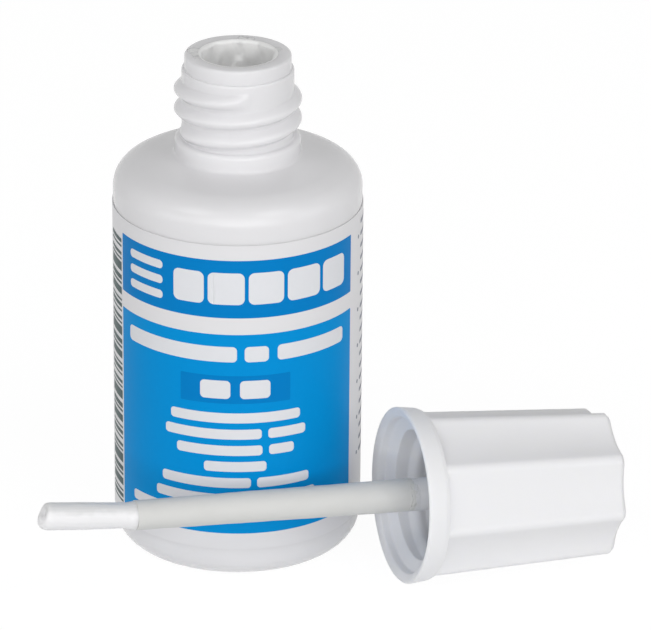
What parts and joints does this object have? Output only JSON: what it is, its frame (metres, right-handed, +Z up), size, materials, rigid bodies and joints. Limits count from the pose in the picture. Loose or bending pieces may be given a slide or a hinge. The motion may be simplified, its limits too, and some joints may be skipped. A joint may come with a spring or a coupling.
{
  "type": "correction fluid bottle",
  "caption": "Small standing squat round bottle with a screw neck and a wrap label, its ridged screw cap with stem and fluid brush taken off and lying in front of it.",
  "frame": {"origin": "centre of the bottle's foot ring, on the surface that it stands on", "axes": "+Z up along the bottle's axis, out of its mouth; -Y out of the middle of the label's printed front; the cap lies in front and to the right, at -Y and +X"},
  "size_m": [0.0667, 0.0416, 0.0595],
  "materials": {
    "bottle_plastic": "satin",
    "cap_plastic": "satin",
    "stem_plastic": "dried fluid film",
    "bristles": "wet",
    "staple_wire": "drawn wire",
    "ball_steel": "polished",
    "film_white": "film",
    "band_blue": "printed film",
    "panel_blue": "printed film",
    "box_blue": "printed film",
    "print_white": "printed film",
    "print_dark": "printed film",
    "print_grey": "printed film"
  },
  "bodies": {
    "root": {"bottle": "bottle_plastic", "mixing_ball": "ball_steel", "label_film": "film_white", "label_band": "band_blue", "label_band_marks": "print_white", "label_panel": "panel_blue", "label_panel_box": "box_blue", "label_panel_marks": "print_white", "label_bar_marks": "print_dark", "label_side_marks": "print_grey", "screw_cap": "cap_plastic", "stem": "stem_plastic", "brush_tuft": "bristles", "brush_staple": "staple_wire"}
  },
  "joints": []
}
